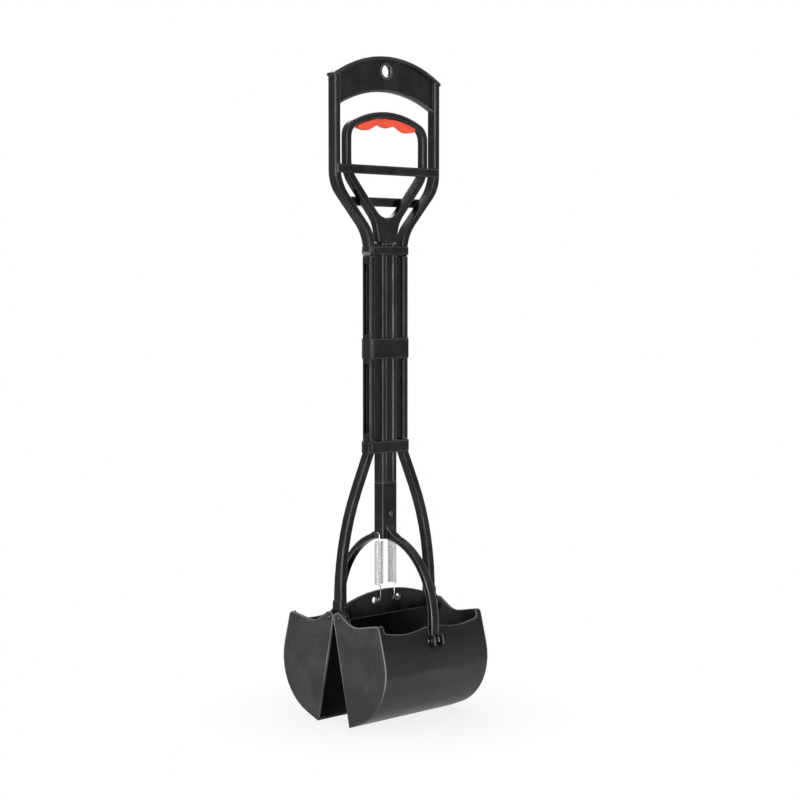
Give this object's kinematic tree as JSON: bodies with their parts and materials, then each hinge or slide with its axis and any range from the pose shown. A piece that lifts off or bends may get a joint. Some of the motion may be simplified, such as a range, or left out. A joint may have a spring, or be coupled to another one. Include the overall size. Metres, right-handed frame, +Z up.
{
  "type": "pet waste scooper",
  "caption": "Tall pooper scooper with a D-shaped handle, a sliding finger grip, a channelled shaft, a spread fork and two spring-closed bin-shaped jaws.",
  "frame": {"origin": "on the floor under the middle of the shaft, at rest", "axes": "+Z up along the shaft, +X along the jaw hinges, -Y towards the front jaw"},
  "size_m": [0.158, 0.1616, 0.702],
  "materials": {
    "black_plastic": "satin black moulded plastic",
    "grey_plastic": "fine matt dark grey moulded plastic",
    "finger_pad": "soft matt orange-red rubber",
    "steel": "bright zinc-plated steel",
    "spring_steel": "bright spring wire",
    "oiled_steel": "dark oiled steel",
    "coated_steel": "dull grey coated steel screw"
  },
  "bodies": {
    "shaft": {"handle_frame": "black_plastic", "guide_shaft": "black_plastic", "jaw_fork": "black_plastic", "front_left_pivot_pin": "oiled_steel", "front_left_pivot_washer": "oiled_steel", "front_right_pivot_pin": "oiled_steel", "front_right_pivot_washer": "oiled_steel", "rear_left_pivot_pin": "oiled_steel", "rear_left_pivot_washer": "oiled_steel", "rear_right_pivot_pin": "oiled_steel", "rear_right_pivot_washer": "oiled_steel", "left_spring": "spring_steel", "right_spring": "spring_steel"},
    "pull": {"pull_grip": "black_plastic", "finger_pad": "finger_pad", "pull_rod": "black_plastic", "yoke": "black_plastic", "yoke_screw": "coated_steel", "front_foot_pin": "steel", "front_foot_clip": "steel", "rear_foot_pin": "steel", "rear_foot_clip": "steel", "spring_hanger_pin": "oiled_steel"},
    "front_jaw": {"front_jaw": "grey_plastic"},
    "rear_jaw": {"rear_jaw": "grey_plastic"}
  },
  "joints": [
    {"name": "pull_slide", "type": "slide", "parent": "shaft", "child": "pull", "axis": [0, 0, 1], "range_m": [-0.01288, 0.0177], "stiffness_N_per_m": 1465, "deforming": ["left_spring", "right_spring"]},
    {"name": "front_jaw_hinge", "type": "hinge", "parent": "shaft", "child": "front_jaw", "pos_m": [0, -0.0076, 0.11322], "axis": [-1, 0, 0], "range_deg": [-12, 16.5]},
    {"name": "rear_jaw_hinge", "type": "hinge", "parent": "shaft", "child": "rear_jaw", "pos_m": [0, 0.0076, 0.11322], "axis": [1, 0, 0], "range_deg": [-12, 16.5]}
  ],
  "couplings": [
    {"joint": "front_jaw_hinge", "follows": "pull_slide", "rad_per_m": 16.26},
    {"joint": "rear_jaw_hinge", "follows": "pull_slide", "rad_per_m": 16.26}
  ]
}
